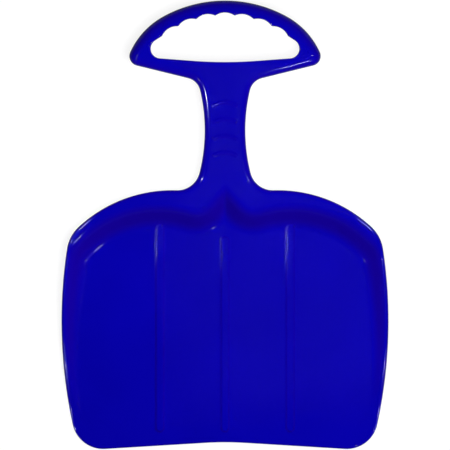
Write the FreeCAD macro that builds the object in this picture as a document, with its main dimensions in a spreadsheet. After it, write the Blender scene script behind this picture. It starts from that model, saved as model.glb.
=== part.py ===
import FreeCAD, Part
import math
import os
import re

import Sketcher

# One-piece moulded snow shovel: a wide shallow tray blade, a short neck and a D-shaped grip.
# X runs across the blade, Y from the front edge towards the grip, Z up out of the tray.
# The sketches put Y = 0 at the front corners. The finished piece is then placed so that the
# frame's origin is the middle of the flat underside that the shovel rests on.

# Driving dimensions, in millimetres and degrees. A "line" is a distance from the front corners.
DIMENSIONS = {
    # whole shovel
    "total_length": 550,
    "blade_width": 401,
    "wall": 3,
    "rest_centre_line": 140,
    # blade outline
    "front_bow": 8.3,
    "front_radius": 400,
    "front_corner_radius": 38.5,
    "side_radius": 590,
    "widest_line": 156,
    "rear_corner_radius": 47,
    "rear_radius": 169,
    "rear_crown_offset": 64.6,
    "rear_crown_line": 317.7,
    # neck outline
    "neck_base_radius": 28,
    "neck_width": 49.8,
    "waist_radius": 215,
    "waist_line": 391,
    "neck_top_radius": 20,
    "neck_top_line": 435.5,
    # grip outline
    "grip_width": 234.4,
    "grip_corner_radius": 12,
    "grip_corner_line": 482,
    "grip_shoulder_radius": 94,
    "grip_crown_radius": 157,
    # side profile of the rim, neck and grip
    "rim_start_line": 45,
    "rim_bend_line": 242,
    "rim_bend_height": 28,
    "handle_tilt": 3,
    "rim_depth": 10,
    "handle_depth": 18,
    "deep_start_line": 300,
    "deep_end_line": 340,
    "edge_round": 6,
    # tray
    "tray_draft": 36,
    "tray_reach": 40,
    "tray_half_width": 187,
    "tray_widest_line": 104,
    "tray_side_radius": 633,
    "tray_corner_radius": 25,
    "lobe_radius": 120,
    "lobe_offset": 82,
    "lobe_line": 156,
    "dip_radius": 45,
    "tongue_radius": 5,
    "tongue_line": 280,
    "tray_front_radius": 20,
    "tray_front_line": -40,
    # stiffening ribs on the tray floor
    "floor_rib_pitch": 80,
    "floor_rib_width": 10,
    "floor_rib_height": 1.8,
    "floor_rib_front_line": 22,
    "side_rib_back_line": 276,
    "middle_rib_back_line": 261,
    # grip opening
    "opening_end_offset": 79,
    "opening_end_line": 491,
    "opening_end_radius": 12,
    "opening_wall": 5,
    "opening_wall_radius": 134.7,
    "opening_sag_radius": 520,
    "opening_sag_line": 474.5,
    "finger_circle_line": 403.7,
    "finger_circle_radius": 128.5,
    "finger_pitch": 10.6,
    "finger_radius": 19.8,
    "tooth_radius": 2.5,
    # arched ridges on the neck
    "ridge_pitch": 20.4,
    "ridge_first_line": 364,
    "ridge_half_width": 13.4,
    "ridge_width": 5,
    "ridge_height": 1.5,
    "ridge_radius": 26,
    # cross ribs behind the neck and grip
    "back_rib_width": 2.5,
    "back_rib_inset": 4,
    "neck_rib_first_line": 345,
    "neck_rib_pitch": 30,
    "bar_rib_offset": 60,
}
FLOOR_RIBS = {-1: "side_rib_back_line", 0: "middle_rib_back_line", 1: "side_rib_back_line"}
FINGER_TEETH = 8
NECK_RIDGES = 4
NECK_RIBS = 4
ARCH_RIBS = 2
ABOVE = 90
BELOW = 30

doc = FreeCAD.newDocument("SnowShovel")
sheet = doc.addObject("Spreadsheet::Sheet", "Dimensions")
for row, (name, number) in enumerate(DIMENSIONS.items(), start=1):
    sheet.set(f"A{row}", name)
    sheet.set(f"B{row}", str(number))
    sheet.setAlias(f"B{row}", name)
doc.recompute()


def linked(text):
    """The same formula with every dimension name pointing at its cell in the sheet."""
    def point_at_cell(match):
        return f"Dimensions.{match.group(0)}" if match.group(0) in DIMENSIONS else match.group(0)
    return re.sub(r"[a-z_]+", point_at_cell, text)


def value(text):
    """The number that a formula of dimension names comes to."""
    result = sheet.evalExpression(linked(text))
    return float(getattr(result, "Value", result))


class Arc:
    """A round stretch of a closed outline, drawn anticlockwise with the material on its left.

    turn is 1 where the outline bulges out and -1 where it is hollow. grow moves the outline
    outward by a formula. x and y pin the centre; an unpinned arc is held by its neighbours.
    """

    def __init__(self, radius, turn=1, x=None, y=None, centre=None, grow="0"):
        sign = "+" if turn > 0 else "-"
        self.radius_text = f"{radius} {sign} ({grow})"
        self.turn = turn
        self.x_text = x
        self.y_text = y
        self.centre = centre or FreeCAD.Vector(value(x), value(y), 0)

    @property
    def bend(self):
        return self.turn * value(self.radius_text)

    def mirrored(self):
        twin = Arc.__new__(Arc)
        twin.__dict__.update(self.__dict__)
        twin.centre = FreeCAD.Vector(-self.centre.x, self.centre.y, 0)
        return twin


def touching(first, second, radius, turn, pick, grow):
    """The arc of a given radius that touches two other arcs; pick chooses between the two."""
    arc = Arc(radius, turn, centre=FreeCAD.Vector(), grow=grow)
    reach_1 = abs(arc.bend - first.bend)
    reach_2 = abs(arc.bend - second.bend)
    span = second.centre - first.centre
    along = (span.Length ** 2 + reach_1 ** 2 - reach_2 ** 2) / (2 * span.Length)
    aside = math.sqrt(reach_1 ** 2 - along ** 2)
    ahead = span / span.Length
    left = FreeCAD.Vector(-ahead.y, ahead.x, 0)
    options = [first.centre + ahead * along + left * aside * side for side in (1, -1)]
    arc.centre = max(options, key=pick)
    return arc


def sliding(neighbour, radius, turn, y, side, grow):
    """The arc of a given radius that touches one other arc, with its centre at a given line."""
    arc = Arc(radius, turn, centre=FreeCAD.Vector(), grow=grow)
    arc.y_text = y
    reach = arc.bend - neighbour.bend
    rise = value(y) - neighbour.centre.y
    arc.centre.x = neighbour.centre.x + side * math.sqrt(reach ** 2 - rise ** 2)
    arc.centre.y = value(y)
    return arc


def tangent_points(first, second):
    """Where the outline leaves one arc and meets the next: the same point if they touch."""
    span = second.centre - first.centre
    change = second.bend - first.bend
    straight = math.sqrt(max(span.Length ** 2 - change ** 2, 0))
    turned = FreeCAD.Vector(-span.y, span.x, 0)
    ahead = (span * straight - turned * change) / span.Length ** 2
    left = FreeCAD.Vector(-ahead.y, ahead.x, 0)
    return first.centre - left * first.bend, second.centre - left * second.bend


def new_sketch(body, name, plane="XY_Plane", line="0", height="0", axis=(1, 0, 0), angle="0"):
    """A sketch on one of the body's own planes, moved along Y and Z and turned about an axis."""
    sketch = body.newObject("Sketcher::SketchObject", name)
    support = next(item for item in body.Origin.OriginFeatures if item.Role == plane)
    sketch.AttachmentSupport = [(support, "")]
    sketch.MapMode = "FlatFace"
    turned = FreeCAD.Rotation(FreeCAD.Vector(*axis), value(angle))
    sketch.AttachmentOffset = FreeCAD.Placement(FreeCAD.Vector(0, value(line), value(height)), turned)
    sketch.setExpression("AttachmentOffset.Base.y", linked(line))
    sketch.setExpression("AttachmentOffset.Base.z", linked(height))
    if value(angle):
        sketch.setExpression("AttachmentOffset.Rotation.Angle", linked(angle))
    return sketch


def pin(sketch, kind, geometry, position, distance, text, name):
    """Hold a point at a signed distance from the origin along X or Y."""
    ends = (-1, 1, geometry, position) if distance >= 0 else (geometry, position, -1, 1)
    index = sketch.addConstraint(Sketcher.Constraint(kind, *ends, abs(distance)))
    sketch.renameConstraint(index, name)
    formula = linked(text)
    sketch.setExpression(f"Constraints.{name}", f"abs({formula})")


def draw_outline(sketch, arcs, label=""):
    """Draw a closed chain of arcs, with a straight line wherever two neighbours don't touch."""
    count = len(arcs)
    joints = [tangent_points(arcs[i], arcs[(i + 1) % count]) for i in range(count)]
    rounds = []
    for i, arc in enumerate(arcs):
        start, end = joints[i - 1][1], joints[i][0]
        if arc.turn < 0:
            start, end = end, start
        low = math.atan2(start.y - arc.centre.y, start.x - arc.centre.x)
        high = math.atan2(end.y - arc.centre.y, end.x - arc.centre.x)
        circle = Part.Circle(arc.centre, FreeCAD.Vector(0, 0, 1), abs(arc.bend))
        rounds.append(sketch.addGeometry(Part.ArcOfCircle(circle, low, high), False))
    for i, arc in enumerate(arcs):
        following = (i + 1) % count
        leaving = 2 if arc.turn > 0 else 1
        meeting = 1 if arcs[following].turn > 0 else 2
        start, end = joints[i]
        if start.distanceToPoint(end) < 1e-3:
            link = Sketcher.Constraint("Tangent", rounds[i], leaving, rounds[following], meeting)
            sketch.addConstraint(link)
        else:
            line = sketch.addGeometry(Part.LineSegment(start, end), False)
            sketch.addConstraint(Sketcher.Constraint("Tangent", rounds[i], leaving, line, 1))
            sketch.addConstraint(Sketcher.Constraint("Tangent", line, 2, rounds[following], meeting))
    for i, arc in enumerate(arcs):
        index = sketch.addConstraint(Sketcher.Constraint("Radius", rounds[i], abs(arc.bend)))
        sketch.renameConstraint(index, f"radius_{label}{i}")
        sketch.setExpression(f"Constraints.radius_{label}{i}", linked(arc.radius_text))
        if arc.x_text:
            pin(sketch, "DistanceX", rounds[i], 3, arc.centre.x, arc.x_text, f"across_{label}{i}")
        if arc.y_text:
            pin(sketch, "DistanceY", rounds[i], 3, arc.centre.y, arc.y_text, f"along_{label}{i}")


def draw_polygon(sketch, corners):
    """Draw a closed polygon whose corners are pairs of formulas."""
    points = [FreeCAD.Vector(value(x), value(y), 0) for x, y in corners]
    count = len(points)
    lines = [sketch.addGeometry(Part.LineSegment(points[i], points[(i + 1) % count]), False)
             for i in range(count)]
    for i, line in enumerate(lines):
        sketch.addConstraint(Sketcher.Constraint("Coincident", line, 2, lines[(i + 1) % count], 1))
        pin(sketch, "DistanceX", line, 1, points[i].x, corners[i][0], f"across_{i}")
        pin(sketch, "DistanceY", line, 1, points[i].y, corners[i][1], f"along_{i}")


def new_body(name):
    return doc.addObject("PartDesign::Body", name)


def pad(body, sketch, length, name, midplane=False, reverse=False):
    feature = body.newObject("PartDesign::Pad", name)
    feature.Profile = sketch
    feature.setExpression("Length", linked(length))
    feature.Midplane = midplane
    feature.Reversed = reverse
    sketch.Visibility = False
    doc.recompute()
    return feature


def pocket_through(body, sketch, name):
    """Cut right through the body, both ways from the sketch, and make sure that it did."""
    before = body.Shape.Volume
    feature = body.newObject("PartDesign::Pocket", name)
    feature.Profile = sketch
    feature.Type = "ThroughAll"
    feature.Midplane = True
    doc.recompute()
    if body.Shape.Volume >= before:
        raise RuntimeError(f"{name} cut nothing")
    return feature


def highest(point):
    return point.y


def outermost(point):
    return point.x


def lowest(point):
    return -point.y


def both_sides(middle_front, right, middle_back=None):
    """A whole outline from its front arc, the arcs of its right side and its back arc."""
    left = [arc.mirrored() for arc in reversed(right)]
    return [arc for arc in [middle_front, *right, middle_back, *left] if arc]


def shovel_outline(grow="0"):
    """The whole silhouette: front edge, sides, rear shoulders, neck and the grip's outside."""
    front = Arc("front_radius", -1, "0", "front_bow - front_radius", grow=grow)
    side = Arc("side_radius", 1, "blade_width / 2 - side_radius", "widest_line", grow=grow)
    rear = Arc("rear_radius", 1, "rear_crown_offset", "rear_crown_line - rear_radius", grow=grow)
    waist = Arc("waist_radius", -1, "neck_width / 2 + waist_radius", "waist_line", grow=grow)
    corner = Arc("grip_corner_radius", 1, "grip_width / 2 - grip_corner_radius",
                 "grip_corner_line", grow=grow)
    crown = Arc("grip_crown_radius", 1, "0", "total_length - grip_crown_radius", grow=grow)
    front_corner = sliding(side, "front_corner_radius", 1, "front_corner_radius", 1, grow)
    rear_corner = touching(side, rear, "rear_corner_radius", 1, outermost, grow)
    neck_base = touching(rear, waist, "neck_base_radius", -1, highest, grow)
    neck_top = sliding(waist, "neck_top_radius", -1, "neck_top_line", -1, grow)
    shoulder = touching(corner, crown, "grip_shoulder_radius", 1, highest, grow)
    right = [front_corner, side, rear_corner, rear, neck_base, waist, neck_top, corner, shoulder]
    return both_sides(front, right, crown)


def tray_outline(grow="0"):
    """The foot of the tray wall, run out past the open front, with a tongue into the neck."""
    side = Arc("tray_side_radius", 1, "tray_half_width - tray_side_radius", "tray_widest_line",
               grow=grow)
    lobe = Arc("lobe_radius", 1, "lobe_offset", "lobe_line", grow=grow)
    tongue = Arc("tongue_radius", 1, "0", "tongue_line", grow=grow)
    front = sliding(side, "tray_front_radius", 1, "tray_front_line", 1, grow)
    corner = touching(side, lobe, "tray_corner_radius", 1, highest, grow)
    dip = touching(lobe, tongue, "dip_radius", -1, highest, grow)
    return both_sides(None, [front, side, corner, lobe, dip], tongue)


def opening_outline(grow="0"):
    """The hand opening: a sagging lower edge, round ends, and teeth between the fingers."""
    sag = Arc("opening_sag_radius", 1, "0", "opening_sag_line + opening_sag_radius", grow=grow)
    end = Arc("opening_end_radius", 1, "opening_end_offset", "opening_end_line", grow=grow)
    teeth = []
    for step in range(FINGER_TEETH // 2, 0, -1):
        angle = f"({step} - 0.5) * finger_pitch * 1 deg"
        reach = "(finger_circle_radius + tooth_radius)"
        teeth.append(Arc("tooth_radius", -1, f"{reach} * sin({angle})",
                         f"finger_circle_line + {reach} * cos({angle})", grow=grow))
    right = [end]
    for near, tooth in enumerate(teeth):
        right.append(tooth)
        if near + 1 < len(teeth):
            right.append(touching(tooth, teeth[near + 1], "finger_radius", 1, lowest, grow))
    middle = touching(teeth[-1], teeth[-1].mirrored(), "finger_radius", 1, lowest, grow)
    return both_sides(sag, right, middle)


def opening_wall_outline():
    """The back of the wall round the hand opening: smooth, where the opening has its teeth."""
    radius = "(opening_end_radius + opening_wall)"
    sag = Arc("opening_sag_radius", 1, "0", "opening_sag_line + opening_sag_radius", grow="wall")
    end = Arc(radius, 1, "opening_end_offset", "opening_end_line")
    crown = touching(end, end.mirrored(), "opening_wall_radius", 1, lowest, "0")
    return both_sides(sag, [end], crown)


def floor_rib_outline(x, back_line):
    """A long slot shape with round ends at a given distance from the middle."""
    half = "floor_rib_width / 2"
    return [Arc(half, 1, x, f"floor_rib_front_line + {half}"),
            Arc(half, 1, x, f"{back_line} - {half}")]


def ridge_outline():
    """A shallow arch across the neck, of even width, with round ends."""
    half = "ridge_width / 2"
    outside = Arc(f"ridge_radius + {half}", 1, "0", "-ridge_radius")
    inside = Arc(f"ridge_radius - {half}", -1, centre=outside.centre)
    reach = value("ridge_half_width")
    drop = math.sqrt(value("ridge_radius") ** 2 - reach ** 2)
    cap = Arc(half, 1, centre=outside.centre + FreeCAD.Vector(reach, drop, 0))
    cap.x_text = "ridge_half_width"
    return [cap, outside, cap.mirrored(), inside]


def height_below_rim(line, depth):
    """Formula for the height of a point some depth below the rim's top at a given line."""
    return (f"rim_bend_height + ({line} - rim_bend_line) * tan(handle_tilt * 1 deg) - {depth}")


def top_profile(sketch, sunk):
    """Everything above the rim, seen from the side; sunk lowers the line for the inside."""
    corners = [
        ("-60", f"wall - {sunk}"),
        ("rim_start_line", f"wall - {sunk}"),
        ("rim_bend_line", f"rim_bend_height - {sunk}"),
        ("total_length + 20", height_below_rim("(total_length + 20)", sunk)),
        ("total_length + 20", f"{ABOVE} + 10"),
        ("-60", f"{ABOVE} + 10"),
    ]
    draw_polygon(sketch, corners)


def bottom_profile(sketch):
    """Everything below the rim's lip and the handle's side walls, seen from the side."""
    rise = "(rim_bend_height - wall) / (rim_bend_line - rim_start_line)"
    ground_line = f"rim_start_line + (rim_depth - wall) / ({rise})"
    corners = [
        (ground_line, "0"),
        ("rim_bend_line", "rim_bend_height - rim_depth"),
        ("deep_start_line", height_below_rim("deep_start_line", "rim_depth")),
        ("deep_end_line", height_below_rim("deep_end_line", "handle_depth")),
        ("total_length + 20", height_below_rim("(total_length + 20)", "handle_depth")),
        ("total_length + 20", f"-{BELOW}"),
        (ground_line, f"-{BELOW}"),
    ]
    draw_polygon(sketch, corners)


def prism(name, outlines, bottom, length):
    """A body padded up from a level in an outline."""
    body = new_body(name)
    sketch = new_sketch(body, f"{name}Outline", height=bottom)
    for number, arcs in enumerate(outlines):
        draw_outline(sketch, arcs, label=f"{number}_")
    pad(body, sketch, length, f"{name}Pad")
    return body


def blank(name, grow, sunk, bottom):
    """The outline padded up and cut along the rim line: the outside or the inside of the rim."""
    body = prism(name, [shovel_outline(grow)], bottom, f"{ABOVE}")
    profile = new_sketch(body, f"{name}Profile", plane="YZ_Plane")
    top_profile(profile, sunk)
    pocket_through(body, profile, f"{name}Top")
    return body


def tray_solid(name, bottom, grow):
    """A drafted block that widens upward from the foot of the tray wall."""
    body = prism(name, [tray_outline(grow)], bottom, "tray_reach")
    body.Tip.setExpression("TaperAngle", linked("tray_draft"))
    doc.recompute()
    return body


def combine(kind, name, **inputs):
    """One boolean of whole solids."""
    result = doc.addObject(f"Part::{kind}", name)
    for key, item in inputs.items():
        setattr(result, key, item)
    result.Refine = False
    doc.recompute()
    return result


def upper_edges(body):
    """Names of the edges along the top of the outline, all the way round behind the front edge."""
    names = []
    front = value("rim_start_line") + 1
    bottom = body.Shape.BoundBox.ZMin + 1
    for number, edge in enumerate(body.Shape.Edges, start=1):
        upright = abs(edge.tangentAt(edge.FirstParameter).z) > 0.5
        fold = isinstance(edge.Curve, Part.Line) and edge.BoundBox.YLength < 0.1
        behind = edge.BoundBox.YMin > front and edge.BoundBox.ZMin > bottom
        if behind and not upright and not fold:
            names.append(f"Edge{number}")
    return names


def round_edges(body, edges, radius, name):
    """Round the named edges of a body's last feature."""
    base = body.Tip
    feature = body.newObject("PartDesign::Fillet", name)
    feature.Base = (base, edges)
    feature.setExpression("Radius", linked(radius))
    doc.recompute()
    return feature


def repeat_along(body, feature, sketch, length, count, name):
    """Repeat the body's last feature along its sketch's vertical axis."""
    pattern = body.newObject("PartDesign::LinearPattern", name)
    pattern.Originals = [feature]
    pattern.Direction = (sketch, ["V_Axis"])
    pattern.setExpression("Length", linked(length))
    pattern.Occurrences = count
    body.Tip = pattern
    doc.recompute()
    return pattern


def back_rib(body, name, corners, line="0", height="0", turn="0"):
    """One bar of material left standing in the hollow back."""
    sketch = new_sketch(body, f"{name}Outline", line=line, height=height, axis=(0, 0, 1), angle=turn)
    draw_polygon(sketch, corners)
    pad(body, sketch, f"{ABOVE}", name)


def back_ribs():
    """Bars across the neck's back, along the grip's lower bar and round its arch."""
    body = new_body("BackRibs")
    half = "back_rib_width / 2"
    depth = "(handle_depth - back_rib_inset)"
    for number in range(NECK_RIBS):
        line = f"(neck_rib_first_line + {number} * neck_rib_pitch)"
        corners = [("-neck_width", f"-{half}"), ("neck_width", f"-{half}"),
                   ("neck_width", half), ("-neck_width", half)]
        back_rib(body, f"NeckRib{number}", corners, line, height_below_rim(line, depth))
    for number, side in enumerate((-1, 1)):
        middle = f"{side} * bar_rib_offset"
        corners = [(f"{middle} - {half}", "-handle_depth"), (f"{middle} + {half}", "-handle_depth"),
                   (f"{middle} + {half}", "handle_depth"), (f"{middle} - {half}", "handle_depth")]
        back_rib(body, f"BarRib{number}", corners, "opening_sag_line",
                 height_below_rim("opening_sag_line", depth))
    for number in range(-ARCH_RIBS, ARCH_RIBS + 1):
        corners = [(f"-{half}", "finger_circle_radius"), (half, "finger_circle_radius"),
                   (half, "grip_crown_radius"), (f"-{half}", "grip_crown_radius")]
        back_rib(body, f"ArchRib{number + ARCH_RIBS}", corners, "finger_circle_line",
                 height_below_rim("total_length", depth), f"{number} * 2 * finger_pitch")
    return body


# The rim, neck and grip: an outside and an inside, one wall apart, cut to the side profile.
outside = blank("Outside", "0", "0", "0")
round_edges(outside, upper_edges(outside), "edge_round", "OutsideRound")
inside = blank("Inside", "-wall", "wall", f"-{BELOW} - 10")
round_edges(inside, upper_edges(inside), "edge_round - wall", "InsideRound")
skirt_cut = new_body("SkirtCut")
skirt_sketch = new_sketch(skirt_cut, "SkirtCutProfile", plane="YZ_Plane")
bottom_profile(skirt_sketch)
pad(skirt_cut, skirt_sketch, "3 * blade_width", "SkirtCutPad", midplane=True)

# The tray: a drafted block, one wall larger than the hollow that is cut from it.
lean = "wall / cos(tray_draft * 1 deg) - wall * tan(tray_draft * 1 deg)"
tray_hollow = tray_solid("TrayHollow", "wall", "0")
tray_block = tray_solid("TrayBlock", "0", lean)

# Everything behind the shell that is open air, round the opening's wall and the ribs.
opening_wall = prism("OpeningWall", [opening_wall_outline()], f"-{BELOW} - 10", f"2 * {ABOVE}")
beyond_wall = combine("Cut", "BeyondWall", Base=inside, Tool=opening_wall)
beyond_tray = combine("Cut", "BeyondTray", Base=beyond_wall, Tool=tray_block)
behind = combine("Cut", "Behind", Base=beyond_tray, Tool=back_ribs())

# The shell: the outside with the space under the rim, the tray and the hollow back taken away.
below_lip = combine("Cut", "BelowLip", Base=skirt_cut, Tool=tray_block)
skirted = combine("Cut", "Skirted", Base=outside, Tool=below_lip)
opened = combine("Cut", "Opened", Base=skirted, Tool=tray_hollow)
moulded = combine("Cut", "MouldedShell", Base=opened, Tool=behind)

# The finished moulding: the hand opening, then what stands on the shell's surfaces.
shovel = new_body("ShovelMoulding")
shovel.BaseFeature = moulded
doc.recompute()
opening = new_sketch(shovel, "OpeningOutline")
draw_outline(opening, opening_outline())
pocket_through(shovel, opening, "Opening")
for number, (place, back_line) in enumerate(FLOOR_RIBS.items()):
    rib = new_sketch(shovel, f"FloorRib{number}Outline", height="wall - 1")
    draw_outline(rib, floor_rib_outline(f"{place} * floor_rib_pitch", back_line))
    pad(shovel, rib, "floor_rib_height + 1", f"FloorRib{number}")
ridge = new_sketch(shovel, "RidgeOutline", line="ridge_first_line",
                   height=height_below_rim("ridge_first_line", "1"), angle="handle_tilt")
draw_outline(ridge, ridge_outline())
first_ridge = pad(shovel, ridge, "ridge_height + 1", "Ridge")
repeat_along(shovel, first_ridge, ridge, f"ridge_pitch * {NECK_RIDGES - 1}", NECK_RIDGES, "Ridges")

shovel.Label = "shovel_moulding"
shovel.Placement.Base = FreeCAD.Vector(0, -value("rest_centre_line"), 0)
doc.recompute()

for item in doc.Objects:
    if "Invalid" in item.State or "Error" in item.State:
        raise RuntimeError(f"{item.Name} failed: {item.getStatusString()}")
shape = shovel.Shape
if shape.isNull() or not shape.isValid() or len(shape.Solids) != 1:
    raise RuntimeError("the moulding is not one valid solid")
os.makedirs("parts", exist_ok=True)
shape.exportStep(os.path.join("parts", f"{shovel.Label}.step"))
print(f"{shovel.Label}: {shape.Volume / 1000:.0f} cm3")
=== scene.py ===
import math

import bpy
import numpy as np
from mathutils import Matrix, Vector
from mathutils.geometry import delaunay_2d_cdt


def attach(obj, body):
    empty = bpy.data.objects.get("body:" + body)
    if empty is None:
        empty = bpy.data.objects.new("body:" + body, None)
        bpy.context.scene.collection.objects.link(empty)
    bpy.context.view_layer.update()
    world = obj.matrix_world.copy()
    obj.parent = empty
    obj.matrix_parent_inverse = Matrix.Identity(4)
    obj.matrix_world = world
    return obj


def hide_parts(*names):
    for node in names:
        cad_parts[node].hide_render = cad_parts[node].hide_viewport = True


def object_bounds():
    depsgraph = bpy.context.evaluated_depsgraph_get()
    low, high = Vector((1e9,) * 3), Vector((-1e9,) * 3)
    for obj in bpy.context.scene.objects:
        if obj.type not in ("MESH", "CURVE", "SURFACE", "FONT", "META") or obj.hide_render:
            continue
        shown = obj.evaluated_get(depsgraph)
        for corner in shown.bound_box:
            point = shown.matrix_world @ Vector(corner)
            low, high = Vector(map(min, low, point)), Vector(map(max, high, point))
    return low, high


# A one-piece moulded snow shovel: a wide shallow tray, a short neck and a D-shaped grip with
# finger scallops. One mesh holds its closed skin and the closed bars that stiffen its back.
# Lengths are millimetres until the mesh is made. A "line" is a distance back from the front corners.

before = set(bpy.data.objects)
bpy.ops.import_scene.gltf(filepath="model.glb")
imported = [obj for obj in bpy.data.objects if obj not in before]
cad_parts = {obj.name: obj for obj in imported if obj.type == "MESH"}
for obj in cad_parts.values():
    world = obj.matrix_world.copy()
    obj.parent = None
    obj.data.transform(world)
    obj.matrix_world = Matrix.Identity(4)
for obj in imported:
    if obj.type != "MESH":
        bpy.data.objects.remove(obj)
cad_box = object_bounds()

MM = 0.001
BODY = "root"
NODE = "shovel_moulding"

TOTAL_LENGTH = 550
BLADE_WIDTH = 401
WALL = 3

# the outline, from the front edge back to the grip
FRONT_BOW = 8.3
FRONT_RADIUS = 400
FRONT_CORNER_RADIUS = 38.5
SIDE_RADIUS = 590
WIDEST_LINE = 156
SHOULDER_RADIUS = 47
REAR_OFFSET = 64.6
REAR_LINE = 317.7
REAR_RADIUS = 169
NECK_BASE_RADIUS = 28
NECK_WIDTH = 49.8
WAIST_RADIUS = 215
WAIST_LINE = 391
NECK_TOP_RADIUS = 20
NECK_TOP_LINE = 435.5
GRIP_WIDTH = 234.4
GRIP_CORNER_RADIUS = 12
GRIP_CORNER_LINE = 482
CROWN_SIDE_RADIUS = 94
CROWN_RADIUS = 157

# ribs on the tray floor and ridges across the neck
FLOOR_RIB_PITCH = 80
FLOOR_RIB_BACK_LINES = {-1: 276, 0: 262, 1: 276}
NECK_RIDGES = 4
NECK_RIDGE_PITCH = 20.4
NECK_RIDGE_FIRST_LINE = 364

# bars across the hollow back of the neck, of the grip's lower bar and of its arch
BAR_THICKNESS = 2.5
BAR_DEPTH = 14
BAR_SPOTS = 60
NECK_BARS = 4
NECK_BAR_PITCH = 30
NECK_BAR_FIRST_LINE = 345
NECK_BAR_REACH = 45
LOWER_BAR_OFFSET = 60
LOWER_BAR_ENDS = (455, 490)
ARCH_BARS_ASIDE = 2
ARCH_BAR_ENDS = (124, 165)

# small edges, and the spacing of the mesh's points
OPENING_ROUND = 2.0
LOWER_ROUND = 0.8
STEP = 2.0
FINE_STEP = 1.2
GRID = 2.3
POINT_GAP = 1.2

LEFT, RIGHT = (-1, 1)
UP = np.array([0.0, 1.0])
DOWN = -UP
OUTWARD = np.array([1.0, 0.0])
ROUND_STEPS = np.linspace(0, math.pi / 2, 7)


# ---------------------------------------------------------------- outlines

def facing(angle):
    """Unit vectors at some angles."""
    return np.stack([np.cos(angle), np.sin(angle)], axis=-1)


class Arc:
    """A round stretch of an outline. bend is its radius, negative where the outline is hollow."""

    def __init__(self, x, y, bend):
        self.centre = np.array([x, y], float)
        self.bend = bend

    def mirrored(self):
        return Arc(-self.centre[0], self.centre[1], self.bend)

    def grown(self, amount):
        return Arc(*self.centre, self.bend + amount)


def touching(first, second, bend, towards):
    """The arc that touches two others, on the side of them that lies furthest towards a direction."""
    reach_1 = bend - first.bend
    reach_2 = bend - second.bend
    span = second.centre - first.centre
    length = np.hypot(*span)
    along = (length ** 2 + reach_1 ** 2 - reach_2 ** 2) / (2 * length)
    aside = math.sqrt(reach_1 ** 2 - along ** 2)
    ahead = span / length
    left = np.array([-ahead[1], ahead[0]])
    options = [first.centre + ahead * along + left * aside * side for side in (LEFT, RIGHT)]
    return Arc(*max(options, key=lambda centre: centre @ towards), bend)


def sliding(neighbour, bend, line, side):
    """The arc that touches one other, with its centre at a given line, on one side of it."""
    rise = line - neighbour.centre[1]
    shift = math.sqrt((bend - neighbour.bend) ** 2 - rise ** 2)
    return Arc(neighbour.centre[0] + side * shift, line, bend)


class RoundPart:
    """One arc of an outline, from the angle where it starts to face, through its sweep."""

    def __init__(self, arc, start, end):
        self.arc = arc
        self.side = math.copysign(1, arc.bend)
        self.start = start
        self.sweep = self.side * (((end - start) * self.side) % (2 * math.pi))
        self.length = abs(arc.bend * self.sweep)

    def at(self, share):
        out = facing(self.start + self.sweep * share)
        return self.arc.centre + self.arc.bend * out, out

    def distance(self, points):
        away = (points - self.arc.centre) * self.side
        turned = (np.arctan2(away[:, 1], away[:, 0]) - self.start) * self.side % (2 * math.pi)
        beyond = self.side * (np.hypot(away[:, 0], away[:, 1]) - abs(self.arc.bend))
        return np.where(turned <= abs(self.sweep) + 1e-9, beyond, np.inf)


class StraightPart:
    """One straight stretch of an outline, between two points."""

    def __init__(self, first, second, out):
        self.first = first
        self.span = second - first
        self.out = out
        self.sweep = 0
        self.length = np.hypot(*self.span)

    def at(self, share):
        return self.first + np.outer(share, self.span), np.tile(self.out, (len(share), 1))

    def distance(self, points):
        away = points - self.first
        share = away @ self.span / self.length ** 2
        return np.where((share >= 0) & (share <= 1), away @ self.out, np.inf)


class Outline:
    """A closed chain of arcs, anticlockwise, with a straight line where two don't touch."""

    def __init__(self, arcs):
        pairs = list(zip(arcs, arcs[1:] + arcs[:1]))
        leaving = [self.facing_between(*pair) for pair in pairs]
        self.parts = []
        for (arc, following), start, end in zip(pairs, leaving[-1:] + leaving[:-1], leaving):
            self.parts.append(RoundPart(arc, start, end))
            out = facing(end)
            first = arc.centre + arc.bend * out
            second = following.centre + following.bend * out
            if np.hypot(*(second - first)) > 1e-3:
                self.parts.append(StraightPart(first, second, out))

    @staticmethod
    def facing_between(first, second):
        """The angle that the outline faces where it passes from one arc to the next."""
        span = second.centre - first.centre
        change = second.bend - first.bend
        straight = math.sqrt(max(span @ span - change ** 2, 0))
        return math.atan2(span[1], span[0]) - math.atan2(change, straight) - math.pi / 2

    def walk(self, step=STEP, widest_turn=math.radians(12)):
        """Points along the outline and the way out at each."""
        places, outs = [], []
        for part in self.parts:
            count = math.ceil(max(part.length / step, abs(part.sweep) / widest_turn, 1))
            place, out = part.at(np.arange(count) / count)
            places.append(place)
            outs.append(out)
        return np.concatenate(places), np.concatenate(outs)

    def distance(self, points):
        """How far outside the outline each point is; negative inside."""
        every = np.stack([part.distance(points) for part in self.parts])
        nearest = np.abs(every).argmin(axis=0)
        return every[nearest, np.arange(len(points))]


def both_sides(front, right, back):
    """A whole symmetrical outline from its front arc, the arcs of its right side and its back arc."""
    left = [arc.mirrored() for arc in reversed(right)]
    return Outline([arc for arc in [front, *right, back, *left] if arc])


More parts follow.
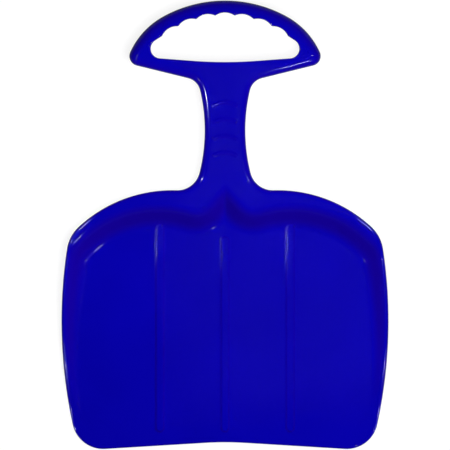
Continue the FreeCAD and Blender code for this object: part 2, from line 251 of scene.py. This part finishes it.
def shovel_outline():
    """The whole silhouette: front edge, sides, rear shoulders, neck and the grip's outside."""
    front = Arc(0, FRONT_BOW - FRONT_RADIUS, -FRONT_RADIUS)
    side = Arc(BLADE_WIDTH / 2 - SIDE_RADIUS, WIDEST_LINE, SIDE_RADIUS)
    rear = Arc(REAR_OFFSET, REAR_LINE - REAR_RADIUS, REAR_RADIUS)
    waist = Arc(NECK_WIDTH / 2 + WAIST_RADIUS, WAIST_LINE, -WAIST_RADIUS)
    corner = Arc(GRIP_WIDTH / 2 - GRIP_CORNER_RADIUS, GRIP_CORNER_LINE, GRIP_CORNER_RADIUS)
    crown = Arc(0, TOTAL_LENGTH - CROWN_RADIUS, CROWN_RADIUS)
    right = [sliding(side, FRONT_CORNER_RADIUS, FRONT_CORNER_RADIUS, RIGHT), side,
             touching(side, rear, SHOULDER_RADIUS, OUTWARD), rear,
             touching(rear, waist, -NECK_BASE_RADIUS, UP), waist,
             sliding(waist, -NECK_TOP_RADIUS, NECK_TOP_LINE, LEFT), corner,
             touching(corner, crown, CROWN_SIDE_RADIUS, UP)]
    return both_sides(front, right, crown)


TRAY_SLOPE = 1 / math.tan(math.radians(36))
FOOT_ROUND = 7
FOOT_HALF_WIDTH = 187
FOOT_SIDE_RADIUS = 633
FOOT_WIDEST_LINE = 104
FOOT_CORNER_RADIUS = 25
FOOT_LOBE = Arc(82, 156, 120)
FOOT_END_RADIUS = 20
FOOT_END_LINE = -40
TONGUE = Arc(0, 280, 5)
TONGUE_SPREAD = math.radians(46)
TONGUE_SIDE_RADIUS = 45


def tray_foot_outline():
    """The foot of the tray wall, run out past the open front, with a tongue into the neck."""
    side = Arc(FOOT_HALF_WIDTH - FOOT_SIDE_RADIUS, FOOT_WIDEST_LINE, FOOT_SIDE_RADIUS)
    right = [sliding(side, FOOT_END_RADIUS, FOOT_END_LINE, RIGHT), side,
             touching(side, FOOT_LOBE, FOOT_CORNER_RADIUS, UP), FOOT_LOBE,
             touching(FOOT_LOBE, TONGUE, -TONGUE_SIDE_RADIUS, UP)]
    return both_sides(None, right, TONGUE)


OPENING_SAG_LINE = 474.5
OPENING_SAG_RADIUS = 520
OPENING_SAG = Arc(0, OPENING_SAG_LINE + OPENING_SAG_RADIUS, OPENING_SAG_RADIUS)
OPENING_END = Arc(79, 491, 12)
OPENING_WALL_END_GROWTH = 5
OPENING_WALL_CROWN_RADIUS = 134.7
FINGER_TEETH = 8
FINGER_CENTRE = np.array([0, 403.7])
FINGER_RADIUS = 19.8
FINGER_PITCH = math.radians(10.6)
TOOTH_REACH = 131
TOOTH_RADIUS = 2.5


def opening_outline():
    """The hand opening: a sagging lower edge, round ends, and teeth between the fingers."""
    angles = (np.arange(FINGER_TEETH // 2, 0, -1) - 0.5) * FINGER_PITCH
    teeth = [Arc(*(FINGER_CENTRE + TOOTH_REACH * facing(math.pi / 2 - angle)), -TOOTH_RADIUS)
             for angle in angles]
    right = [OPENING_END]
    for near, far in zip(teeth, teeth[1:]):
        right += [near, touching(near, far, FINGER_RADIUS, DOWN)]
    right.append(teeth[-1])
    top = touching(teeth[-1], teeth[-1].mirrored(), FINGER_RADIUS, DOWN)
    return both_sides(OPENING_SAG, right, top)


def opening_wall_outline():
    """The back of the wall round the hand opening: smooth, where the opening has its teeth."""
    end = OPENING_END.grown(OPENING_WALL_END_GROWTH)
    crown = touching(end, end.mirrored(), OPENING_WALL_CROWN_RADIUS, DOWN)
    return both_sides(OPENING_SAG.grown(WALL), [end], crown)


OUTER = shovel_outline()
FOOT = tray_foot_outline()
OPENING = opening_outline()
OPENING_WALL = opening_wall_outline()


# ---------------------------------------------------------------- heights

SHOULDER_HEIGHT = 28
RAMP_FOOT_LINE = 45
RAMP_TOP_LINE = 242
HANDLE_TILT = math.radians(3)
FOLD_SOFTENING = 9
LIP_DEPTH = 10
HANDLE_WALL_DEPTH = 18
RIM_BLEND = 9
RIM_BLEND_SHARE = 0.6


def rim_height(line):
    """Height of the rim's top: flat at the front edge, up along the sides, then the handle's tilt."""
    steepness = (SHOULDER_HEIGHT - WALL) / (RAMP_TOP_LINE - RAMP_FOOT_LINE)

    def folded(at):
        ramp = WALL + steepness * np.clip(at - RAMP_FOOT_LINE, 0, RAMP_TOP_LINE - RAMP_FOOT_LINE)
        return ramp + math.tan(HANDLE_TILT) * np.maximum(at - RAMP_TOP_LINE, 0)

    shifts = np.linspace(-FOLD_SOFTENING, FOLD_SOFTENING, 5)
    return np.mean([folded(line + shift) for shift in shifts], axis=0)


def lip_depth(line):
    """How far the lip or the handle's side wall hangs down from the rim."""
    return np.minimum(rim_height(line), np.interp(line, [295, 345], [LIP_DEPTH, HANDLE_WALL_DEPTH]))


def roll_width(line):
    """How far in from the outline the top surface rolls over: blade, neck, grip's bar and its arch."""
    return np.interp(line, [300, 330, 440, 465, 485, 505], [4, 9, 9, 11, 13, 17])


def roll_drop(line):
    """How far the top surface has rolled down by the outline."""
    return np.interp(line, [45, 80, 300, 330, 440, 475, 505], [1.4, 4, 4, 6, 6, 9, 16])


def rolled_down(inward, line):
    """How far the top surface lies below the rim at some distance in from the outline."""
    across = 1 - np.clip(inward / roll_width(line), 0, 1)
    return roll_drop(line) * (1 - np.sqrt(1 - across ** 2))


def edge_width(line):
    """How wide a margin along the outline is made of evenly spaced rings."""
    return np.interp(line, [330, 360, 440, 465, 485, 500], [4, 7, 7, 8.5, 8.5, 10.5])


def tray_height(points):
    """The tray's surface: a flat floor with a rounded foot, and a wall that leans out."""
    away = FOOT.distance(points)
    from_tongue = points - TONGUE.centre
    reach = np.hypot(*from_tongue.T)
    turned = np.abs(np.arctan2(from_tongue[:, 0], from_tongue[:, 1]))
    creased = reach * np.cos(TONGUE_SPREAD - turned) - TONGUE.bend
    away = np.where(turned < TONGUE_SPREAD, creased, away)
    curve = TRAY_SLOPE * np.clip(away + FOOT_ROUND, 0, 2 * FOOT_ROUND) ** 2 / (4 * FOOT_ROUND)
    return WALL + curve + TRAY_SLOPE * np.maximum(away - FOOT_ROUND, 0)


def lower_of(first, second, blend):
    """The lower of two heights, with the crease between them rounded."""
    overlap = np.maximum(blend - np.abs(first - second), 0)
    return np.minimum(first, second) - overlap ** 2 / (4 * blend)


def skin_height(points):
    """The plain top surface, without ribs."""
    rim = rim_height(points[:, 1])
    blend = np.clip((rim - WALL) * RIM_BLEND_SHARE, 0.01, RIM_BLEND)
    fallen = rolled_down(-OUTER.distance(points), points[:, 1])
    return lower_of(rim - fallen, tray_height(points), blend)


def underside_height(points):
    """The back of the skin: one wall thickness below it, measured square to it, but not under 0."""
    nudge = 0.4
    rise = [(skin_height(points + shift) - skin_height(points - shift)) / (2 * nudge)
            for shift in ((nudge, 0), (0, nudge))]
    thickness = WALL * np.sqrt(1 + rise[0] ** 2 + rise[1] ** 2)
    return np.maximum(skin_height(points) - thickness, 0)


class FloorRib:
    """A low stiffening rib along the tray floor."""

    height = 1.8
    half_width = 6.2
    crest = 3.4
    front_line = 26

    def __init__(self, x, back_line):
        self.x = x
        self.lines = (self.front_line, back_line - self.half_width)

    def distance(self, points):
        """How far each point is from the rib's middle line."""
        nearest = np.clip(points[:, 1], *self.lines)
        return np.hypot(points[:, 0] - self.x, points[:, 1] - nearest)

    def ring(self, reach):
        ends = [Arc(self.x, line, reach) for line in self.lines]
        return Outline(ends).walk(widest_turn=math.radians(24))[0]


class NeckRidge:
    """A low arched ridge across the neck."""

    height = 1.1
    half_width = 3.0
    crest = 0.3
    radius = 26
    half_span = 13.4

    def __init__(self, line):
        self.centre = np.array([0, line - self.radius])
        self.reach = math.asin(self.half_span / self.radius)

    def distance(self, points):
        away = points - self.centre
        angle = np.clip(np.arctan2(away[:, 0], away[:, 1]), -self.reach, self.reach)
        nearest = self.centre + self.radius * facing(math.pi / 2 - angle)
        return np.hypot(*(points - nearest).T)

    def ring(self, reach):
        cap = Arc(*(self.centre + self.radius * facing(math.pi / 2 - self.reach)), reach)
        arcs = [cap, Arc(*self.centre, self.radius + reach), cap.mirrored(),
                Arc(*self.centre, reach - self.radius)]
        return Outline(arcs).walk(step=1.4, widest_turn=math.radians(24))[0]


FEATURES = [FloorRib(place * FLOOR_RIB_PITCH, line) for place, line in FLOOR_RIB_BACK_LINES.items()]
FEATURES += [NeckRidge(NECK_RIDGE_FIRST_LINE + NECK_RIDGE_PITCH * number) for number in range(NECK_RIDGES)]


def raised(points):
    """What the ribs and ridges add to the top surface."""
    total = np.zeros(len(points))
    for feature in FEATURES:
        share = (feature.half_width - feature.distance(points)) / (feature.half_width - feature.crest)
        share = np.clip(share, 0, 1)
        total += feature.height * share ** 2 * (3 - 2 * share)
    return total


# ---------------------------------------------------------------- the skin's mesh

class MeshParts:
    """Collects points and faces; rings of point numbers tie the parts together."""

    def __init__(self):
        self.points = []
        self.faces = []
        self.count = 0

    def add(self, places, heights):
        """Add points and give their numbers."""
        self.points.append(np.column_stack([places, heights]))
        self.count += len(places)
        return np.arange(self.count - len(places), self.count)

    def strip(self, rings, outward=True):
        """Join each ring of points to the next with four-sided faces."""
        for ring, following in zip(rings, rings[1:]):
            corners = [ring, following, np.roll(following, -1), np.roll(ring, -1)]
            quads = np.column_stack(corners if outward else corners[::-1])
            self.faces += quads.tolist()


def triangulate(rings, loose):
    """Triangles over closed rings and loose points, with the rings that each one lies inside."""
    flat = np.concatenate([*rings, loose])
    numbers = np.split(np.arange(sum(map(len, rings))), np.cumsum([len(ring) for ring in rings])[:-1])
    loops = [ring.tolist() for ring in numbers]
    made = delaunay_2d_cdt([Vector(place) for place in flat], [], loops, 0, 1e-6)
    places = np.array([tuple(place) for place in made[0]])
    triangles = np.array(made[2])
    within = [set(found) for found in made[5]]
    where = np.zeros(len(flat), int)
    for new, olds in enumerate(made[3]):
        where[olds] = new
    return places, triangles, within, [where[ring] for ring in numbers]


def grid_points():
    """Evenly spaced points for the open areas of the top surface, clear of every ring."""
    rise = GRID * math.sqrt(3) / 2
    rows = np.arange(0, TOTAL_LENGTH, rise)
    columns = np.arange(-BLADE_WIDTH / 2, BLADE_WIDTH / 2, GRID)
    across, along = np.meshgrid(columns, rows)
    across[::2] += GRID / 2
    points = np.column_stack([across.ravel(), along.ravel()])
    keep = OUTER.distance(points) < -edge_width(points[:, 1]) - POINT_GAP
    keep &= OPENING.distance(points) > OPENING_ROUND + POINT_GAP
    keep &= np.abs(OPENING_WALL.distance(points)) > POINT_GAP
    for feature in FEATURES:
        keep &= feature.distance(points) > feature.half_width + POINT_GAP
    return points[keep]


def feature_rings():
    """Rings round each rib and ridge, close enough together to carry its shape."""
    rings = []
    for feature in FEATURES:
        for reach in np.append(np.linspace(feature.half_width, feature.crest, 6), feature.crest / 2):
            rings.append(feature.ring(reach))
    return rings


def lip_sections(line):
    """Rings from the top of the roll round the lip to the underside: (inward, down, side)."""
    width = edge_width(line)
    depth = lip_depth(line)
    half = WALL / 2
    rings = []
    for angle in ROUND_STEPS[1:]:
        inward = width * (1 - math.sin(angle))
        rings.append((inward, rolled_down(inward, line), "roll"))
    for angle in np.linspace(0, math.pi, 9):
        down = depth - half + half * math.sin(angle)
        inward = np.full(len(line), half * (1 - math.cos(angle)))
        rings.append((inward, down, "inside" if angle > math.pi / 2 else "wall"))
    for angle in ROUND_STEPS[:0:-1]:
        inward = WALL + (width - WALL) * (1 - math.sin(angle))
        rings.append((inward, WALL, "inside"))
    return rings


def outer_edge(parts, top_ring, under_ring):
    """The roll, side wall, lip and inside of the outline's edge."""
    places, outs = OUTER.walk()
    line = places[:, 1]
    rim = rim_height(line)
    rings = [top_ring]
    for inward, down, side in lip_sections(line):
        moved = places - outs * inward[:, None]
        heights = rim - down
        if side == "roll":
            heights = np.minimum(heights, skin_height(moved))
        if side == "inside":
            heights = np.minimum(heights, underside_height(moved))
        rings.append(parts.add(moved, heights))
    rings.append(under_ring)
    parts.strip(rings)


def opening_edge(parts, top_ring, under_ring):
    """The rounded edge of the hand opening, its toothed wall, and that wall's smooth back."""
    places, outs = OPENING.walk(FINE_STEP)
    back, back_outs = OPENING_WALL.walk()

    def ring_at(spots, ways, grown, down):
        moved = spots + ways * grown
        return parts.add(moved, rim_height(spots[:, 1]) - down)

    rings = [top_ring]
    for angle in ROUND_STEPS[1:]:
        grown = OPENING_ROUND * (1 - math.sin(angle))
        rings.append(ring_at(places, outs, grown, OPENING_ROUND * (1 - math.cos(angle))))
    depth = lip_depth(places[:, 1])
    for angle in ROUND_STEPS[::2]:
        down = depth - LOWER_ROUND * (1 - math.sin(angle))
        rings.append(ring_at(places, outs, LOWER_ROUND * (1 - math.cos(angle)), down))
    parts.strip(rings, outward=False)

    depth = lip_depth(back[:, 1])
    back_rings = []
    for angle in ROUND_STEPS[::-2]:
        down = depth - LOWER_ROUND * (1 - math.sin(angle))
        back_rings.append(ring_at(back, back_outs, -LOWER_ROUND * (1 - math.cos(angle)), down))
    back_rings.append(under_ring)
    parts.strip(back_rings, outward=False)

    sole = [places + outs * LOWER_ROUND, back - back_outs * LOWER_ROUND]
    _, triangles, within, numbers = triangulate(sole, np.zeros((0, 2)))
    known = np.zeros(len(triangles) * 3, int)
    known[numbers[0]] = rings[-1]
    known[numbers[1]] = back_rings[0]
    for triangle, inside in zip(triangles, within):
        if inside == {1}:
            parts.faces.append(known[triangle[::-1]].tolist())


def back_bar(parts, start, end):
    """A bar under the skin between two places, as long as the hollow it stands in."""
    way = (end - start) / np.hypot(*(end - start))
    aside = np.array([-way[1], way[0]]) * BAR_THICKNESS / 2
    spots = start + np.outer(np.linspace(0, 1, BAR_SPOTS), end - start)
    spots = spots[(OUTER.distance(spots) < -WALL / 2) & (OPENING_WALL.distance(spots) > -WALL / 2)]
    rings = []
    for spot in spots:
        corners = spot + np.outer([-1, 1, 1, -1], aside)
        low = rim_height(corners[:, 1]) - BAR_DEPTH
        high = np.maximum(underside_height(corners) + WALL / 3, low + LOWER_ROUND)
        rings.append(parts.add(corners, [low[0], low[1], high[2], high[3]]))
    parts.strip(rings, outward=False)
    parts.faces += [rings[0][::-1].tolist(), rings[-1].tolist()]


def back_bars(parts):
    """Bars across the back of the neck, of the grip's lower bar and of its arch."""
    for line in NECK_BAR_FIRST_LINE + NECK_BAR_PITCH * np.arange(NECK_BARS):
        back_bar(parts, *(np.array([side * NECK_BAR_REACH, line]) for side in (LEFT, RIGHT)))
    for side in (LEFT, RIGHT):
        back_bar(parts, *(np.array([side * LOWER_BAR_OFFSET, line]) for line in LOWER_BAR_ENDS))
    for place in range(-ARCH_BARS_ASIDE, ARCH_BARS_ASIDE + 1):
        spoke = facing(math.pi / 2 - 2 * FINGER_PITCH * place)
        back_bar(parts, *(FINGER_CENTRE + reach * spoke for reach in ARCH_BAR_ENDS))


def shovel_parts():
    """All the points and faces of the moulding: its skin and the bars behind it."""
    parts = MeshParts()
    places, outs = OUTER.walk()
    edge = places - outs * edge_width(places[:, 1])[:, None]
    places, outs = OPENING.walk(FINE_STEP)
    hole = places + outs * OPENING_ROUND
    rings = [edge, hole, OPENING_WALL.walk()[0], *feature_rings()]
    places, triangles, within, numbers = triangulate(rings, grid_points())
    top = parts.add(places, skin_height(places) + raised(places))
    under = parts.add(places, underside_height(places))
    for triangle, inside in zip(triangles, within):
        if 0 in inside and 1 not in inside:
            parts.faces.append(top[triangle].tolist())
            if 2 not in inside:
                parts.faces.append(under[triangle[::-1]].tolist())
    outer_edge(parts, top[numbers[0]], under[numbers[0]])
    opening_edge(parts, top[numbers[1]], under[numbers[2]])
    back_bars(parts)
    return parts


def in_metres(points):
    """Points in the row frame: the grip's end lies where the CAD part ends."""
    shifted = points * MM
    shifted[:, 1] += cad_box[1].y - TOTAL_LENGTH * MM
    return shifted


def make_mesh(name, parts):
    """An object from the collected parts, without repeated or unused points."""
    points = in_metres(np.concatenate(parts.points))
    _, kept, merged = np.unique(points.round(7), axis=0, return_index=True, return_inverse=True)
    points = points[kept]
    faces = [merged.ravel()[face].tolist() for face in parts.faces]
    faces = [[corner for n, corner in enumerate(face) if corner != face[n - 1]] for face in faces]
    faces = [face for face in faces if len(face) > 2]
    used = np.unique(np.concatenate([np.array(face) for face in faces]))
    renumber = np.zeros(len(points), int)
    renumber[used] = np.arange(len(used))
    mesh = bpy.data.meshes.new(name)
    mesh.from_pydata(points[used].tolist(), [], [renumber[face].tolist() for face in faces])
    mesh.update()
    made = bpy.data.objects.new(name, mesh)
    bpy.context.scene.collection.objects.link(made)
    return made


shovel = make_mesh("moulded_shovel", shovel_parts())
shovel.data.shade_smooth()
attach(shovel, BODY)
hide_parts(NODE)


# ---------------------------------------------------------------- material

DEEP_BLUE = (0.0015, 0.0003, 0.30, 1)
LIGHTER_BLUE = (0.0018, 0.0004, 0.34, 1)
# painted sheen: a reddish blue for surfaces slanted away from the camera, standing in for a reflection,
# not the plastic's own colour
PAINTED_SHEEN_BLUE = (0.016, 0.0004, 0.30, 1)


def plastic():
    """Glossy moulded polypropylene: a deep even blue with faint mottling and soft orange peel, and a
    painted reddish sheen where the surface slants away from the camera.
    """
    material = bpy.data.materials.new("blue_polypropylene")
    material.use_nodes = True
    nodes, links = material.node_tree.nodes, material.node_tree.links
    shader = nodes["Principled BSDF"]
    coordinates = nodes.new("ShaderNodeTexCoord")

    def noise(scale, detail=2.0, stretch=(1, 1, 1)):
        """Smooth noise over the object, between 0 and 1 and mostly between 0.3 and 0.7."""
        mapping = nodes.new("ShaderNodeMapping")
        mapping.inputs["Scale"].default_value = stretch
        links.new(coordinates.outputs["Object"], mapping.inputs["Vector"])
        texture = nodes.new("ShaderNodeTexNoise")
        texture.inputs["Scale"].default_value = scale
        texture.inputs["Detail"].default_value = detail
        links.new(mapping.outputs["Vector"], texture.inputs["Vector"])
        return texture.outputs["Fac"]

    def spread(source, low, high):
        """Noise stretched over a range of its own."""
        ramp = nodes.new("ShaderNodeMapRange")
        ramp.inputs["From Min"].default_value = 0.3
        ramp.inputs["From Max"].default_value = 0.7
        ramp.inputs["To Min"].default_value = low
        ramp.inputs["To Max"].default_value = high
        links.new(source, ramp.inputs["Value"])
        return ramp.outputs["Result"]

    tint = nodes.new("ShaderNodeMix")
    tint.data_type = "RGBA"
    tint.inputs["A"].default_value = DEEP_BLUE
    tint.inputs["B"].default_value = LIGHTER_BLUE
    links.new(spread(noise(9), 0, 1), tint.inputs["Factor"])
    # painted sheen: the base colour turns reddish where the surface faces away from the camera
    sheen_facing = nodes.new("ShaderNodeLayerWeight")
    sheen_facing.inputs["Blend"].default_value = 0.5
    painted_sheen = nodes.new("ShaderNodeMix")
    painted_sheen.data_type = "RGBA"
    painted_sheen.inputs["B"].default_value = PAINTED_SHEEN_BLUE
    links.new(sheen_facing.outputs["Facing"], painted_sheen.inputs["Factor"])
    links.new(tint.outputs["Result"], painted_sheen.inputs["A"])
    links.new(painted_sheen.outputs["Result"], shader.inputs["Base Color"])
    links.new(spread(noise(40, 4), 0.04, 0.06), shader.inputs["Roughness"])

    peel = nodes.new("ShaderNodeBump")
    peel.inputs["Strength"].default_value = 0.25
    peel.inputs["Distance"].default_value = 0.00006
    links.new(noise(350), peel.inputs["Height"])
    flow = nodes.new("ShaderNodeBump")
    flow.inputs["Strength"].default_value = 0.3
    flow.inputs["Distance"].default_value = 0.0003
    links.new(noise(28, 1, (1, 0.35, 1)), flow.inputs["Height"])
    links.new(peel.outputs["Normal"], flow.inputs["Normal"])
    links.new(flow.outputs["Normal"], shader.inputs["Normal"])
    shader.inputs["Specular IOR Level"].default_value = 0.12
    return material


shovel.data.materials.append(plastic())


# ---------------------------------------------------------------- studio

def split_by_camera(tree, socket, seen, otherwise):
    """Give a brightness one value where the camera sees it and another for all other light."""
    path = tree.nodes.new("ShaderNodeLightPath")
    brightness = tree.nodes.new("ShaderNodeMapRange")
    brightness.inputs["To Min"].default_value = otherwise
    brightness.inputs["To Max"].default_value = seen
    tree.links.new(path.outputs["Is Camera Ray"], brightness.inputs["Value"])
    tree.links.new(brightness.outputs["Result"], socket)


def pale_floor():
    """A large plain floor just under the shovel, near white to the camera and dim as a light."""
    reach = 60
    mesh = bpy.data.meshes.new("floor")
    corners = [(-reach, -reach, 0), (reach, -reach, 0), (reach, reach, 0), (-reach, reach, 0)]
    mesh.from_pydata(corners, [], [(0, 1, 2, 3)])
    floor = bpy.data.objects.new("floor", mesh)
    floor.location.z = cad_box[0].z - 0.0005
    bpy.context.scene.collection.objects.link(floor)
    paint = bpy.data.materials.new("pale_floor")
    paint.use_nodes = True
    shader = paint.node_tree.nodes["Principled BSDF"]
    shader.inputs["Base Color"].default_value = (0.15, 0.15, 0.15, 1)
    shader.inputs["Roughness"].default_value = 0.9
    shader.inputs["Emission Color"].default_value = (1, 1, 1, 1)
    split_by_camera(paint.node_tree, shader.inputs["Emission Strength"], seen=0.86, otherwise=0.15)
    mesh.materials.append(paint)


def lamp(name, aim, place, size, watts, glint=False):
    """A lamp aimed at some point: a light without gloss, or a glint that only shows in the gloss."""
    light = bpy.data.lights.new(name, "AREA")
    light.shape = "RECTANGLE"
    light.size, light.size_y = size
    light.energy = watts
    holder = bpy.data.objects.new(name, light)
    holder.location = place
    holder.rotation_euler = (aim - Vector(place)).to_track_quat("-Z", "Y").to_euler()
    holder.visible_camera = False
    holder.visible_glossy = glint
    holder.visible_diffuse = not glint
    bpy.context.scene.collection.objects.link(holder)


def camera(centre, height, distance):
    """A long lens straight above the shovel, filling the picture's height with it."""
    lens = bpy.data.cameras.new("camera")
    lens.sensor_width = 36
    lens.lens = lens.sensor_width * distance / height
    lens.clip_end = 4 * distance
    holder = bpy.data.objects.new("camera", lens)
    holder.location = centre + Vector((0, 0, distance))
    bpy.context.scene.collection.objects.link(holder)
    bpy.context.scene.camera = holder


middle = (cad_box[0] + cad_box[1]) / 2
pale_floor()
lamp("soft", middle, (0.17, 0.15, 1.1), size=(0.5, 0.5), watts=17)
for side in (LEFT, RIGHT):
    lamp("high_glint", middle, (side * 0.42, 0.31, 0.8), size=(0.07, 0.1), watts=3.2, glint=True)
    lamp("low_glint", middle, (side * 0.65, -0.3, 0.8), size=(0.08, 0.08), watts=3, glint=True)
lamp("neck_glint", middle, (-0.5, 0.12, 0.8), size=(0.06, 0.03), watts=2, glint=True)
lamp("bar_glint", middle, (0.28, -0.45, 0.8), size=(0.05, 0.05), watts=1, glint=True)
camera(middle, height=0.5515, distance=12)

world = bpy.data.worlds.new("studio")
bpy.context.scene.world = world
world.use_nodes = True
background = world.node_tree.nodes["Background"]
background.inputs["Color"].default_value = (1, 1, 1, 1)
split_by_camera(world.node_tree, background.inputs["Strength"], seen=1.0, otherwise=0.01)
bpy.context.scene.view_settings.view_transform = "Standard"
